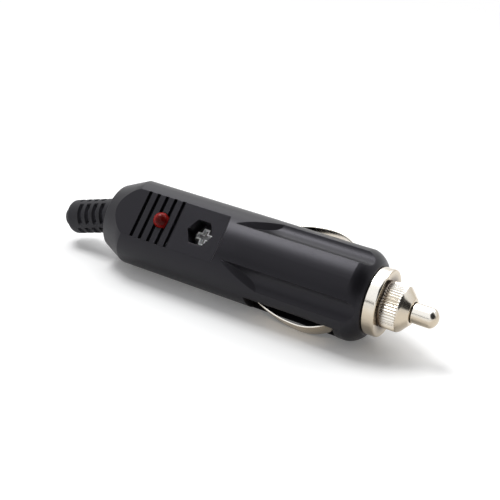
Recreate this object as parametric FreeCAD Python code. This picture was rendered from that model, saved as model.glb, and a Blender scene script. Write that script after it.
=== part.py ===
import FreeCAD, Part
import math
import os

from FreeCAD import Matrix, Placement, Rotation, Vector

# Cigarette lighter plug, lying on its barrel and its near side contact.
# Millimetres and degrees. Every piece is worked out in the plug's own frame first:
# X runs along the axis towards the tip, Z leaves the panel squarely and Y is the far side.
# X = 0 is the shoulder of the centre contact, where its bare stem starts.
# lie_down then rolls each finished piece about that axis into the pose that the plug rests in.

# Pose
lying_roll = 49.0

# Housing, outside
body_radius = 10.4
barrel_length = 35.8
grip_length = 32.0
shoulder_length = 9.9
shoulder_bend = 12.0
shoulder_slope = 22.5
shoulder_widening = 1.1
nose_taper_length = 3.2
nose_taper_drop = 2.4
nose_taper_bulge = 0.45
panel_sink = 1.78
panel_ramp_length = 1.1
groove_count = 5
groove_pitch = 2.35
groove_width = 0.85
groove_depth = 1.0
last_groove_setback = 12.5
valley_angle = 39.0
valley_half_span = 14.0
valley_scoop_radius = 3.72
ramp_start = 2.0
ramp_slope = 18.0

# Housing, inside
wall = 1.7
grip_wall = 1.9
barrel_wall = 3.0
rear_wall = 2.6
front_wall = 5.1
tunnel_radius = 3.5
bulkhead_setback = 2.0
bulkhead_thickness = 1.4
collar_length = 1.6
cradle_wall = 1.2
rib_thickness = 1.2
rib_half_width = 4.3
rib_count = 2
spigot_length = 5.5
spigot_radius = 4.2
wire_notch_radius = 0.6

# Side contacts
strip_width = 5.0
strip_thickness = 0.4
slot_rear = 8.4
slot_length = 22.2
slot_side_gap = 1.1
pocket_rear = 2.2
pocket_skin = 1.6
contact_proud = 1.2
contact_apex = 21.9
contact_rear_bow = 26.0
contact_front_bow = 10.6
contact_rise = 27.5
contact_tail = 42.0
contact_bend = 2.0
leg_start = 3.0
leg_sink = 2.8

# Retaining nut
nut_gap = 0.1
nut_cone_length = 2.1
nut_cone_end_radius = 2.9
nut_knurl_length = 3.9
nut_knurl_radius = 5.2
knurl_teeth = 48
knurl_depth = 0.28
nut_flange_thickness = 2.9
nut_flange_radius = 7.6
nut_edge = 0.3
thread_clearance = 0.06
pin_clearance = 0.1
nut_lip = 2.7

# Centre contact, fuse and pressure spring
pin_radius = 2.25
pin_reach = 5.6
pin_crown = 1.7
pin_edge = 1.2
pin_neck_relief = 0.4
pin_flange_radius = 3.2
pin_flange_thickness = 1.4
fuse_length = 31.8
fuse_radius = 3.175
fuse_cap_length = 6.0
fuse_cap_wall = 0.3
fuse_glass_wall = 0.7
fuse_wire_radius = 0.15
spring_coil_radius = 2.5
spring_wire_radius = 0.3
spring_turns = 5
terminal_thickness = 0.6
terminal_radius = 3.3
tab_half_width = 1.25
tab_offset = 4.5
tab_thickness = 0.5
tab_length = 10.0
tab_eye_radius = 0.6
tab_clearance = 0.2

# Ground strap
strap_thickness = 0.4
strap_width = 2.6
strap_clearance = 0.05
strap_leg = 1.5

# Clamp screw and nut
screw_setback = 5.6
hex_across_flats = 5.65
hex_clearance = 0.1
seat_sink = 6.0
screw_radius = 1.45
screw_hole_radius = 1.65
screw_head_radius = 2.5
screw_head_height = 1.7
screw_crown = 0.9
screw_edge = 0.6
screw_length = 12.0
recess_arm = 1.75
recess_width = 1.1
recess_depth = 1.1
clamp_nut_thickness = 2.4
clamp_nut_bore = 1.5
boss_radius = 4.2

# Indicator light and its resistor
led_setback = 16.3
led_radius = 1.85
led_dome_setback = 0.2
led_flange_radius = 2.2
led_flange_thickness = 0.7
led_hole_clearance = 0.08
led_lead_spacing = 2.54
lead_radius = 0.25
lead_bend = 0.8
lead_gap = 0.05
resistor_radius = 1.15
resistor_length = 6.2
resistor_loop = 1.8
resistor_gap = 0.5
led_anode_length = 3.5

# Strain relief
relief_radius = 4.2
relief_bore = 1.8
relief_neck_radius = 3.6
relief_neck_clearance = 0.05
relief_flange_clearance = 0.4
relief_flange_thickness = 1.6
relief_length = 15.6
relief_pivot = 0.8
relief_droop = 17.2
relief_end_edge = 0.9
relief_tip_radius = 2.5
relief_tip_length = 1.8
relief_tip_edge = 0.6
relief_slot_width = 1.1
relief_slot_pitch = 2.3
relief_slot_start = 2.5
relief_slot_rows = 4
relief_slot_half_angle = 30.0
relief_slot_turn = 71.0
relief_core_radius = 2.9

# Places along the axis that several pieces share
nose_x = -nut_gap
knurl_front_x = nose_x - nut_cone_length
flange_front_x = knurl_front_x - nut_knurl_length
body_front_x = flange_front_x - nut_flange_thickness
panel_front_x = body_front_x - barrel_length
body_rear_x = panel_front_x - grip_length
nut_lip_x = nose_x - nut_lip
fuse_front_x = nut_lip_x - pin_flange_thickness
fuse_rear_x = fuse_front_x - fuse_length
bulkhead_front_x = panel_front_x - bulkhead_setback
bulkhead_rear_x = bulkhead_front_x - bulkhead_thickness
terminal_front_x = bulkhead_front_x + terminal_thickness
slot_rear_x = panel_front_x + slot_rear
slot_front_x = slot_rear_x + slot_length
pocket_rear_x = panel_front_x + pocket_rear
cradle_radius = tunnel_radius + cradle_wall
screw_x = panel_front_x - screw_setback
led_x = panel_front_x - led_setback
panel_height = body_radius - panel_sink
grip_cavity_height = panel_height - wall
shoulder_x = body_rear_x + shoulder_length
barrel_cavity_radius = body_radius - barrel_wall
pocket_roof = body_radius - pocket_skin
contact_reach = body_radius + contact_proud
leg_offset = body_radius - leg_sink
seat_height = body_radius - seat_sink
strap_outside = leg_offset - strip_thickness / 2 - strap_clearance
strap_inside = strap_outside - strap_thickness
ground_lead_offset = (cradle_radius + strap_inside) / 2
led_base_height = grip_cavity_height - led_flange_thickness
led_anode_low = led_base_height - led_anode_length
resistor_loop_height = led_anode_low + 2 * lead_radius
slot_half_height = strip_width / 2 + slot_side_gap
relief_inner_x = body_rear_x + rear_wall
resistor_rear_x = relief_inner_x + relief_flange_thickness + resistor_gap + resistor_loop
resistor_front_x = resistor_rear_x + resistor_length
beyond = 2.0

os.makedirs("parts", exist_ok=True)


def axial_rod(radius, start, end, y=0.0, z=0.0):
    """A round rod along X between two places."""
    return Part.makeCylinder(radius, end - start, Vector(start, y, z), Vector(1, 0, 0))


def upright_rod(radius, x, low, high, y=0.0):
    """A round rod along Z between two heights."""
    return Part.makeCylinder(radius, high - low, Vector(x, y, low), Vector(0, 0, 1))


def block(x_span, y_span, z_span):
    """A box from its three spans."""
    size = [span[1] - span[0] for span in (x_span, y_span, z_span)]
    return Part.makeBox(*size, Vector(x_span[0], y_span[0], z_span[0]))


def side_point(point):
    return Vector(point[0], 0, point[1])


def plan_point(point):
    return Vector(point[0], point[1], 0)


def outline(place, start, steps):
    """A closed face: each step is the next corner, or the middle and end of an arc."""
    edges = []
    here = place(start)
    for step in steps:
        if len(step) == 2 and isinstance(step[0], tuple):
            end = place(step[1])
            edges.append(Part.Arc(here, place(step[0]), end).toShape())
        else:
            end = place(step)
            edges.append(Part.makeLine(here, end))
        here = end
    edges.append(Part.makeLine(here, place(start)))
    return Part.Face(Part.Wire(edges))


def turned(start, steps):
    """A solid turned about X from half of its section, given as (x, radius)."""
    return outline(side_point, start, steps).revolve(Vector(0, 0, 0), Vector(1, 0, 0), 360)


def upright_turned(x, start, steps):
    """A solid turned about a vertical axis at x from half of its section, as (radius, z)."""
    section = outline(side_point, start, steps)
    section.translate(Vector(x, 0, 0))
    return section.revolve(Vector(x, 0, 0), Vector(0, 0, 1), 360)


def crown(start, radius, edge, height):
    """Steps that close a round bar: a rounded edge that runs smoothly into a domed end."""
    lean = 2 * math.atan((height - edge) / (radius - edge))
    centre = start + height - edge - (radius - edge) / math.sin(lean)
    dome = edge + (radius - edge) / math.sin(lean)

    def on_edge(angle):
        return (start + edge * math.cos(angle), radius - edge + edge * math.sin(angle))

    return [
        (on_edge((math.pi / 2 + lean) / 2), on_edge(lean)),
        ((centre + dome * math.cos(lean / 2), dome * math.sin(lean / 2)), (centre + dome, 0)),
    ]


def hexagon(across_flats, x, low, high):
    """A hexagonal bar along Z with two corners on the plug's axis direction."""
    corner = across_flats / math.sqrt(3)
    points = []
    for step in range(7):
        turn = math.radians(60 * step)
        points.append(Vector(x + corner * math.cos(turn), corner * math.sin(turn), low))
    return Part.Face(Part.makePolygon(points)).extrude(Vector(0, 0, high - low))


def mirrored(shape, flip_y=False, flip_z=False):
    """The same solid on the other side of the axis."""
    if flip_y:
        shape = shape.mirror(Vector(0, 0, 0), Vector(0, 1, 0))
    if flip_z:
        shape = shape.mirror(Vector(0, 0, 0), Vector(0, 0, 1))
    return shape


def bent_wire(points, bend, radius):
    """A round wire through the points, with an arc of the bend radius at each corner."""
    corners = [Vector(*point) for point in points]
    edges = []
    here = corners[0]
    for before, corner, after in zip(corners, corners[1:], corners[2:]):
        inward = (before - corner).normalize()
        outward = (after - corner).normalize()
        half = inward.getAngle(outward) / 2
        reach = bend / math.tan(half)
        arc_start = corner + inward * reach
        arc_end = corner + outward * reach
        middle_line = (inward + outward).normalize()
        arc_middle = corner + middle_line * (bend / math.sin(half) - bend)
        edges.append(Part.makeLine(here, arc_start))
        edges.append(Part.Arc(arc_start, arc_middle, arc_end).toShape())
        here = arc_end
    edges.append(Part.makeLine(here, corners[-1]))
    path = Part.Wire(edges)
    section = Part.Wire(Part.makeCircle(radius, corners[0], corners[1] - corners[0]))
    return path.makePipeShell([section], True, False)


def shoulder_point(angle, inset):
    """A place on the shoulder's bend, which leaves the barrel's side at no angle."""
    reach = shoulder_bend - inset
    return (shoulder_x - reach * math.sin(math.radians(angle)),
            body_radius - shoulder_bend + reach * math.cos(math.radians(angle)))


def shoulder_radius(x, inset):
    """The radius of the cone behind the shoulder's bend at x, less the inset."""
    start = shoulder_point(shoulder_slope, inset)
    return start[1] - (start[0] - x) * math.tan(math.radians(shoulder_slope))


def rear_steps(rear_x, front_x, inset):
    """Steps up the rear face, along the cone and the bend and forward to front_x."""
    return [
        (rear_x, shoulder_radius(rear_x, inset)),
        shoulder_point(shoulder_slope, inset),
        (shoulder_point(shoulder_slope / 2, inset), shoulder_point(0, inset)),
        (front_x, body_radius - inset),
    ]


def outer_form():
    """The closed barrel and grip with panels, valleys and the threaded spigot's blank."""
    taper_x = body_front_x - nose_taper_length
    lean = math.atan2(nose_taper_drop, nose_taper_length)
    middle = (body_front_x - nose_taper_length / 2 + nose_taper_bulge * math.sin(lean),
              body_radius - nose_taper_drop / 2 + nose_taper_bulge * math.cos(lean))
    form = turned((body_rear_x, 0), [
        (body_rear_x, body_radius),
        (taper_x, body_radius),
        (middle, (body_front_x, body_radius - nose_taper_drop)),
        (body_front_x, spigot_radius),
        (body_front_x + spigot_length, spigot_radius),
        (body_front_x + spigot_length, 0),
    ])
    cutters = [shoulder_cutter()]
    for flip_z in (False, True):
        cutters.append(mirrored(panel_cutter(), flip_z=flip_z))
        for flip_y in (False, True):
            cutters.append(mirrored(valley_cutter(), flip_y, flip_z))
    return form.cut(cutters)


def shoulder_cutter():
    """Leaves a bent cone at the rear that is a little wider than it is tall."""
    front = shoulder_x + beyond
    core = turned((body_rear_x, 0), rear_steps(body_rear_x, front, 0) + [(front, 0)])
    widening = Matrix()
    widening.scale(1, shoulder_widening, 1)
    blank = axial_rod(body_radius + beyond, body_rear_x - beyond, shoulder_x)
    return blank.cut(core.transformGeometry(widening))


def panel_cutter():
    """Takes the grip down to a flat whose front end ramps up to the tongue."""
    top = body_radius + beyond
    ramp_end = panel_ramp_length * (top - panel_height) / (body_radius - panel_height)
    section = outline(side_point, (body_rear_x - beyond, panel_height), [
        (panel_front_x, panel_height),
        (panel_front_x + ramp_end, top),
        (body_rear_x - beyond, top),
    ])
    section.translate(Vector(0, -body_radius - beyond, 0))
    return section.extrude(Vector(0, 2 * (body_radius + beyond), 0))


def valley_cutter():
    """A shallow scoop beside the tongue, bounded by the ramp that leads down into it."""
    chord = body_radius * math.cos(math.radians(valley_half_span))
    half_chord = body_radius * math.sin(math.radians(valley_half_span))
    centre = chord + math.sqrt(valley_scoop_radius ** 2 - half_chord ** 2)
    lean = math.radians(valley_angle)
    scoop = axial_rod(valley_scoop_radius, panel_front_x - body_radius, body_front_x,
                      centre * math.sin(lean), centre * math.cos(lean))
    slope = math.tan(math.radians(ramp_slope))
    tongue_edge = body_radius * math.cos(math.radians(valley_angle - valley_half_span))
    top = 2 * (body_radius + beyond)
    front = body_front_x + beyond
    start = panel_front_x + ramp_start
    wedge = outline(side_point, (start - (top - tongue_edge) / slope, top), [
        (front, tongue_edge - (front - start) * slope),
        (front, top),
    ]).extrude(Vector(0, top, 0))
    return scoop.common(wedge)


def housing_cavity():
    """What is hollow in both half shells together."""
    steps = rear_steps(relief_inner_x, bulkhead_rear_x, grip_wall)
    rear = turned((relief_inner_x, 0), steps + [(bulkhead_rear_x, 0)])
    level = block((body_rear_x, body_front_x), (-body_radius, body_radius),
                  (-grip_cavity_height, grip_cavity_height))
    boss = upright_rod(boss_radius, screw_x, -body_radius, body_radius)
    rear = rear.common(level).cut(boss)
    barrel_start = panel_front_x + collar_length
    barrel_end = body_front_x - front_wall
    barrel = axial_rod(barrel_cavity_radius, barrel_start, barrel_end)
    barrel = barrel.cut(axial_rod(cradle_radius, barrel_start, barrel_end))
    rib_pitch = (barrel_end - slot_rear_x) / rib_count
    for index in range(rib_count):
        rib_x = slot_rear_x + rib_pitch * (index + 0.5)
        barrel = barrel.cut(block((rib_x - rib_thickness / 2, rib_x + rib_thickness / 2),
                                  (-rib_half_width, rib_half_width), (-body_radius, body_radius)))
    tunnel = axial_rod(tunnel_radius, bulkhead_front_x, body_front_x + spigot_length)
    neck = axial_rod(relief_neck_radius + relief_neck_clearance, body_rear_x, relief_inner_x)
    hollows = [barrel, tunnel, neck, tab_notch(), ground_lead_notch()]
    for side in (False, True):
        pocket = block((pocket_rear_x, slot_front_x), (cradle_radius, pocket_roof),
                       (-slot_half_height, slot_half_height))
        slot = block((slot_rear_x, slot_front_x), (cradle_radius, body_radius + beyond),
                     (-slot_half_height, slot_half_height))
        hollows.append(mirrored(pocket, flip_y=side))
        hollows.append(mirrored(slot, flip_y=side))
    return rear.multiFuse(hollows)


def tab_notch():
    """Room for the terminal's tab, from the tunnel through the bulkhead."""
    half = tab_half_width + tab_clearance
    outer = tab_offset + tab_thickness + tab_clearance
    across = block((bulkhead_front_x, terminal_front_x + tab_clearance), (0, outer), (-half, half))
    through = block((bulkhead_rear_x, bulkhead_front_x), (tab_offset - tab_clearance, outer),
                    (-half, half))
    return mirrored(across.fuse(through), flip_y=True)


def ground_lead_notch():
    return axial_rod(wire_notch_radius, bulkhead_rear_x, pocket_rear_x, ground_lead_offset)


def screw_cutters(sign):
    """The hexagonal pocket in one panel and the screw's hole below it."""
    low, high = sorted((sign * seat_height, sign * body_radius))
    pocket = hexagon(hex_across_flats + hex_clearance, screw_x, low, high)
    low, high = sorted((0, sign * seat_height))
    return [pocket, upright_rod(screw_hole_radius, screw_x, low, high)]


def half_shell(sign):
    """One moulded half: the outer form over or under the parting plane, hollowed out."""
    low, high = sorted((0, sign * (body_radius + beyond)))
    half_space = block((body_rear_x - beyond, beyond), (-body_radius - beyond, body_radius + beyond),
                       (low, high))
    return outer_form().common(half_space).cut([housing_cavity()] + screw_cutters(sign))


def upper_shell():
    """The half with the grip grooves and the window for the light."""
    cutters = [upright_rod(led_radius + led_hole_clearance, led_x, 0, body_radius)]
    edge = math.sqrt(body_radius ** 2 - panel_height ** 2)
    for index in range(groove_count):
        centre = panel_front_x - last_groove_setback - index * groove_pitch
        cutters.append(block((centre - groove_width / 2, centre + groove_width / 2),
                             (-edge, edge), (panel_height - groove_depth, body_radius)))
    return half_shell(1).cut(cutters)


def strip_side(offset):
    """Points along one face of a side contact: leg, bend, rise, bow and tail."""
    rise = math.radians(contact_rise)
    tail = math.radians(contact_tail)
    apex_x = panel_front_x + contact_apex
    apex_y = contact_reach - strip_thickness / 2
    rear_centre = apex_y - contact_rear_bow
    front_centre = apex_y - contact_front_bow
    rise_top_x = apex_x - contact_rear_bow * math.sin(rise)
    rise_top_y = rear_centre + contact_rear_bow * math.cos(rise)
    bend_end_y = leg_offset + contact_bend * (1 - math.cos(rise))
    bend_end_x = rise_top_x - (rise_top_y - bend_end_y) / math.tan(rise)
    bend_x = bend_end_x - contact_bend * math.sin(rise)

    def on_bend(angle):
        radius = contact_bend - offset
        return (bend_x + radius * math.sin(angle), leg_offset + contact_bend - radius * math.cos(angle))

    def on_rear(angle):
        radius = contact_rear_bow + offset
        return (apex_x - radius * math.sin(angle), rear_centre + radius * math.cos(angle))

    def on_front(angle):
        radius = contact_front_bow + offset
        return (apex_x + radius * math.sin(angle), front_centre + radius * math.cos(angle))

    return [(panel_front_x + leg_start, leg_offset + offset), on_bend(0), on_bend(rise / 2), on_bend(rise),
            on_rear(rise), on_rear(rise / 2), on_rear(0), on_front(tail / 2), on_front(tail)]


def side_contact(flip_y):
    """A bowed leaf of spring strip, hinged where its leg is held in the pocket."""
    outer = strip_side(strip_thickness / 2)
    inner = strip_side(-strip_thickness / 2)
    face = outline(plan_point, outer[0], [
        outer[1],
        (outer[2], outer[3]),
        outer[4],
        (outer[5], outer[6]),
        (outer[7], outer[8]),
        inner[8],
        (inner[7], inner[6]),
        (inner[5], inner[4]),
        inner[3],
        (inner[2], inner[1]),
        inner[0],
    ])
    face.translate(Vector(0, 0, -strip_width / 2))
    return mirrored(face.extrude(Vector(0, 0, strip_width)), flip_y=flip_y)


def ground_strap():
    """A half hoop that joins the legs of both side contacts over the fuse."""
    start = panel_front_x + leg_start
    end = start + strap_width
    hoop = axial_rod(strap_outside, start, end).cut(axial_rod(strap_inside, start, end))
    hoop = hoop.common(block((start, end), (-strap_outside, strap_outside), (0, strap_outside)))
    legs = []
    for side in (False, True):
        leg = block((start, end), (strap_inside, strap_outside), (-strap_leg, 0))
        legs.append(mirrored(leg, flip_y=side))
    return hoop.multiFuse(legs).removeSplitter()


def retaining_nut():
    """The plated nut: flange, straight knurl and cone, bored for the spigot and the pin."""
    flange = turned((body_front_x, 0), [
        (body_front_x, nut_flange_radius - nut_edge),
        (body_front_x + nut_edge, nut_flange_radius),
        (flange_front_x - nut_edge, nut_flange_radius),
        (flange_front_x, nut_flange_radius - nut_edge),
        (flange_front_x, 0),
    ])
    points = []
    for step in range(2 * knurl_teeth + 1):
        radius = nut_knurl_radius - (step % 2) * knurl_depth
        turn = math.pi * step / knurl_teeth
        points.append(Vector(flange_front_x, radius * math.cos(turn), radius * math.sin(turn)))
    knurl = Part.Face(Part.makePolygon(points)).extrude(Vector(nut_knurl_length, 0, 0))
    cone = turned((knurl_front_x, 0), [
        (knurl_front_x, nut_knurl_radius - knurl_depth),
        (nose_x, nut_cone_end_radius),
        (nose_x, 0),
    ])
    bore = axial_rod(spigot_radius + thread_clearance, body_front_x, nut_lip_x)
    hole = axial_rod(pin_radius + pin_clearance, nut_lip_x, nose_x)
    return flange.multiFuse([knurl, cone]).cut([bore, hole]).removeSplitter()


def centre_contact():
    """The sprung pin: a flange caught behind the nut's lip, a neck and a crowned stem."""
    neck = pin_radius - pin_neck_relief
    crown_x = pin_reach - pin_crown
    return turned((fuse_front_x, 0), [
        (fuse_front_x, pin_flange_radius),
        (nut_lip_x, pin_flange_radius),
        (nut_lip_x, neck),
        (0, neck),
        (0, pin_radius),
        (crown_x, pin_radius),
    ] + crown(crown_x, pin_radius, pin_edge, pin_crown))


def fuse_cap(end_x, inward):
    """A pressed cup over one end of the glass; inward is the direction of its mouth."""
    mouth = end_x + inward * fuse_cap_length
    floor = end_x + inward * fuse_cap_wall
    cup = axial_rod(fuse_radius, min(end_x, mouth), max(end_x, mouth))
    return cup.cut(axial_rod(fuse_radius - fuse_cap_wall, min(floor, mouth), max(floor, mouth)))


def fuse_glass():
    outside = fuse_radius - fuse_cap_wall
    start = fuse_rear_x + fuse_cap_wall
    end = fuse_front_x - fuse_cap_wall
    return axial_rod(outside, start, end).cut(axial_rod(outside - fuse_glass_wall, start, end))


def fuse_wire():
    return axial_rod(fuse_wire_radius, fuse_rear_x + fuse_cap_wall, fuse_front_x - fuse_cap_wall)


def pressure_spring():
    """The coil that pushes fuse and pin towards the tip."""
    length = fuse_rear_x - terminal_front_x - 2 * spring_wire_radius
    helix = Part.makeHelix(length / spring_turns, length, spring_coil_radius)
    ring = Part.makeCircle(spring_wire_radius, Vector(spring_coil_radius, 0, 0), Vector(0, 1, 0))
    coil = Part.Wire(helix).makePipeShell([Part.Wire(ring)], True, True)
    coil.Placement = Placement(Vector(terminal_front_x + spring_wire_radius, 0, 0),
                               Rotation(Vector(0, 1, 0), 90))
    return coil


def spring_terminal():
    """A sheet metal disc behind the spring, with a tab bent back past the screw's near side."""
    disc = axial_rod(terminal_radius, bulkhead_front_x, terminal_front_x)
    outer = tab_offset + tab_thickness
    arm = block((bulkhead_front_x, terminal_front_x), (0, outer), (-tab_half_width, tab_half_width))
    tab_rear = bulkhead_front_x - tab_length
    tab = block((tab_rear, terminal_front_x), (tab_offset, outer), (-tab_half_width, tab_half_width))
    eye_x = tab_rear + tab_half_width
    eye = Part.makeCylinder(tab_eye_radius, outer, Vector(eye_x, 0, 0), Vector(0, 1, 0))
    return mirrored(disc.multiFuse([arm, tab]).cut(eye).removeSplitter(), flip_y=True)


def clamp_screw():
    """The cross-recessed screw that clamps the half shells, its head in the upper pocket."""
    top = seat_height + screw_head_height
    steps = crown(top - screw_crown, screw_head_radius, screw_edge, screw_crown)
    screw = upright_turned(screw_x, (0, seat_height - screw_length), [
        (screw_radius, seat_height - screw_length),
        (screw_radius, seat_height),
        (screw_head_radius, seat_height),
        (screw_head_radius, top - screw_crown),
    ] + [tuple(point[::-1] for point in step) for step in steps])
    arms = []
    for turn in (0, 90):
        arm = block((-recess_arm, recess_arm), (-recess_width / 2, recess_width / 2),
                    (top - recess_depth, top + beyond))
        arm.rotate(Vector(0, 0, 0), Vector(0, 0, 1), turn)
        arm.translate(Vector(screw_x, 0, 0))
        arms.append(arm)
    return screw.cut(arms)


def clamp_nut():
    low = -seat_height - clamp_nut_thickness
    nut = hexagon(hex_across_flats - hex_clearance, screw_x, low, -seat_height)
    return nut.cut(upright_rod(clamp_nut_bore, screw_x, low, -seat_height))


def led_lens():
    """The red light: a flange under the panel, a short stem and a round dome."""
    centre = panel_height - led_dome_setback
    bulge = 1 / math.sqrt(2)
    return upright_turned(led_x, (0, led_base_height), [
        (led_flange_radius, led_base_height),
        (led_flange_radius, grip_cavity_height),
        (led_radius, grip_cavity_height),
        (led_radius, centre),
        ((led_radius * bulge, centre + led_radius * bulge), (0, centre + led_radius)),
    ])


def led_anode_lead():
    side = -led_lead_spacing / 2
    return upright_rod(lead_radius, led_x, led_anode_low, led_base_height, side)


def led_cathode_lead():
    """Runs down to the parting plane and forward beside the tunnel to the ground strap."""
    side = led_lead_spacing / 2
    strap_x = panel_front_x + leg_start + strap_width / 2
    strap_y = strap_inside - lead_gap
    return bent_wire([
        (led_x, side, led_base_height),
        (led_x, side, 0),
        (led_x, ground_lead_offset, 0),
        (strap_x, ground_lead_offset, 0),
        (strap_x, strap_y, 0),
    ], lead_bend, lead_radius)


def resistor_place():
    """Where the resistor's axis lies: its front lead rests on the terminal's tab."""
    return -(tab_offset + tab_thickness + lead_radius)


def resistor_body():
    return axial_rod(resistor_radius, resistor_rear_x, resistor_front_x, resistor_place())


def resistor_front_lead():
    front = bulkhead_front_x - tab_length / 2
    return axial_rod(lead_radius, resistor_front_x, front, resistor_place())


def resistor_rear_lead():
    """Loops back and up, and ends beside the light's own lead."""
    loop_x = resistor_rear_x - resistor_loop
    side = -(led_lead_spacing / 2 + 2 * lead_radius + lead_gap)
    return bent_wire([
        (resistor_rear_x, resistor_place(), 0),
        (loop_x, resistor_place(), 0),
        (loop_x, side, resistor_loop_height),
        (led_x + 2 * lead_radius, side, resistor_loop_height),
    ], lead_bend, lead_radius)


def relief_slots():
    """Rings of short arc slots; each ring is turned a quarter from the one before it."""
    slots = []
    half = math.radians(relief_slot_half_angle)
    reach = relief_radius + beyond
    corner = reach / math.cos(half)
    for ring in range(2 * relief_slot_rows):
        start = -relief_slot_start - ring * relief_slot_pitch / 2 - relief_slot_width / 2
        for side in (0, 180):
            wedge = Part.Face(Part.makePolygon([
                Vector(start, 0, 0),
                Vector(start, -corner * math.sin(half), corner * math.cos(half)),
                Vector(start, corner * math.sin(half), corner * math.cos(half)),
                Vector(start, 0, 0),
            ])).extrude(Vector(relief_slot_width, 0, 0))
            wedge = wedge.cut(axial_rod(relief_core_radius, start, start + relief_slot_width))
            turn = relief_slot_turn + 90 * (ring % 2) + side
            wedge.rotate(Vector(0, 0, 0), Vector(1, 0, 0), turn)
            slots.append(wedge)
    return slots


def strain_relief():
    """The soft slotted boot. It droops where it leaves the housing's rear wall."""
    tail = -relief_length
    end_x = tail + relief_tip_length
    bulge = 1 - 1 / math.sqrt(2)
    boot = turned((relief_pivot + beyond, 0), [
        (tail, 0),
        (tail, relief_tip_radius - relief_tip_edge),
        ((tail + relief_tip_edge * bulge, relief_tip_radius - relief_tip_edge * bulge),
         (tail + relief_tip_edge, relief_tip_radius)),
        (end_x, relief_tip_radius),
        (end_x, relief_radius - relief_end_edge),
        ((end_x + relief_end_edge * bulge, relief_radius - relief_end_edge * bulge),
         (end_x + relief_end_edge, relief_radius)),
        (relief_pivot + beyond, relief_radius),
    ])
    boot = boot.cut(relief_slots())
    boot.rotate(Vector(0, 0, 0), Vector(0, 1, 0), -relief_droop)
    pivot = Vector(body_rear_x - relief_pivot, 0, 0)
    boot.translate(pivot)
    outside = block((body_rear_x - 2 * relief_length, body_rear_x),
                    (-body_radius, body_radius), (-body_radius, body_radius))
    boot = boot.common(outside)
    neck = axial_rod(relief_neck_radius, body_rear_x, relief_inner_x)
    flange_radius = shoulder_radius(relief_inner_x, grip_wall) - relief_flange_clearance
    flange = axial_rod(flange_radius, relief_inner_x, relief_inner_x + relief_flange_thickness)
    bore = Part.makeCylinder(relief_bore, 2 * relief_length, Vector(0, 0, 0), Vector(-1, 0, 0))
    bore.rotate(Vector(0, 0, 0), Vector(0, 1, 0), -relief_droop)
    bore.translate(pivot)
    bend = Part.makeSphere(relief_bore, pivot)
    entry = axial_rod(relief_bore, pivot.x, relief_inner_x + relief_flange_thickness)
    return boot.multiFuse([neck, flange]).cut([bore, bend, entry])


def lie_down(shape):
    """Rolls a finished solid about the plug's axis into the resting pose."""
    shape = shape.copy()
    shape.rotate(Vector(0, 0, 0), Vector(1, 0, 0), lying_roll)
    return shape


def write(name, shape):
    solid = shape.Solids[0] if len(shape.Solids) == 1 else shape
    solid.exportStep("parts/" + name + ".step")
    print(name, len(shape.Solids), shape.isValid(), round(shape.Volume, 2))


pieces = {
    "upper_shell": upper_shell(),
    "lower_shell": half_shell(-1),
    "retaining_nut": retaining_nut(),
    "centre_contact": centre_contact(),
    "fuse_cap_front": fuse_cap(fuse_front_x, -1),
    "fuse_cap_rear": fuse_cap(fuse_rear_x, 1),
    "fuse_glass": fuse_glass(),
    "fuse_wire": fuse_wire(),
    "pressure_spring": pressure_spring(),
    "spring_terminal": spring_terminal(),
    "side_contact_near": side_contact(True),
    "side_contact_far": side_contact(False),
    "ground_strap": ground_strap(),
    "clamp_screw": clamp_screw(),
    "clamp_nut": clamp_nut(),
    "led_lens": led_lens(),
    "led_anode_lead": led_anode_lead(),
    "led_cathode_lead": led_cathode_lead(),
    "resistor_body": resistor_body(),
    "resistor_front_lead": resistor_front_lead(),
    "resistor_rear_lead": resistor_rear_lead(),
}

for name, shape in pieces.items():
    write(name, lie_down(shape))
write("strain_relief", strain_relief())
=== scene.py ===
import math

import bmesh
import bpy
import numpy as np
from bpy.props import FloatProperty, FloatVectorProperty, IntProperty, PointerProperty
from bpy.types import Operator, Panel, PropertyGroup
from mathutils import Matrix, Vector


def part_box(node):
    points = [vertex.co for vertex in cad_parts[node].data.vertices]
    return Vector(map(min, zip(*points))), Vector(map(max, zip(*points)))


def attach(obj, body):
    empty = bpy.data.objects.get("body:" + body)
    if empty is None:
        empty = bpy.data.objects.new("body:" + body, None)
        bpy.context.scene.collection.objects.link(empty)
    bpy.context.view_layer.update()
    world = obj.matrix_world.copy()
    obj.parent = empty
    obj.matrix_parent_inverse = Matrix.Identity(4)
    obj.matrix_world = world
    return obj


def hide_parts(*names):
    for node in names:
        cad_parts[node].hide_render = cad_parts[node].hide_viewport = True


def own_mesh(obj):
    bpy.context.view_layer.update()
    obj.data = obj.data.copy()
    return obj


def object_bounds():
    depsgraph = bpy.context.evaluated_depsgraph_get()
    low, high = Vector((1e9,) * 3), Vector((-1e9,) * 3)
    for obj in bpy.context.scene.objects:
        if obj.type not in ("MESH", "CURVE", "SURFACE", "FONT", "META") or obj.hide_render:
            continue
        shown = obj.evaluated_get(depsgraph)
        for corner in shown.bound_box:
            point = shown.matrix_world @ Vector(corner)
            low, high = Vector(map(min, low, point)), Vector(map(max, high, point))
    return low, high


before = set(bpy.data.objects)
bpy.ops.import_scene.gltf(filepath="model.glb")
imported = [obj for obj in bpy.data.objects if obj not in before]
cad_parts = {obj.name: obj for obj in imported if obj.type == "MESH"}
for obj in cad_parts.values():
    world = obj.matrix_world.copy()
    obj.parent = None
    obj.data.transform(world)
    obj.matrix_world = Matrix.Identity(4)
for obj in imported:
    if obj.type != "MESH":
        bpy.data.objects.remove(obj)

bl_info = {
    "name": "Lighter Plug Finisher",
    "version": (1, 0, 0),
    "blender": (4, 5, 0),
    "location": "View3D > Sidebar > Lighter Plug",
    "description": "Finished surfaces and materials for an accessory socket plug",
    "category": "Object",
}

MM = 0.001
CAD_BOX = [list(corner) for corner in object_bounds()]

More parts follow.
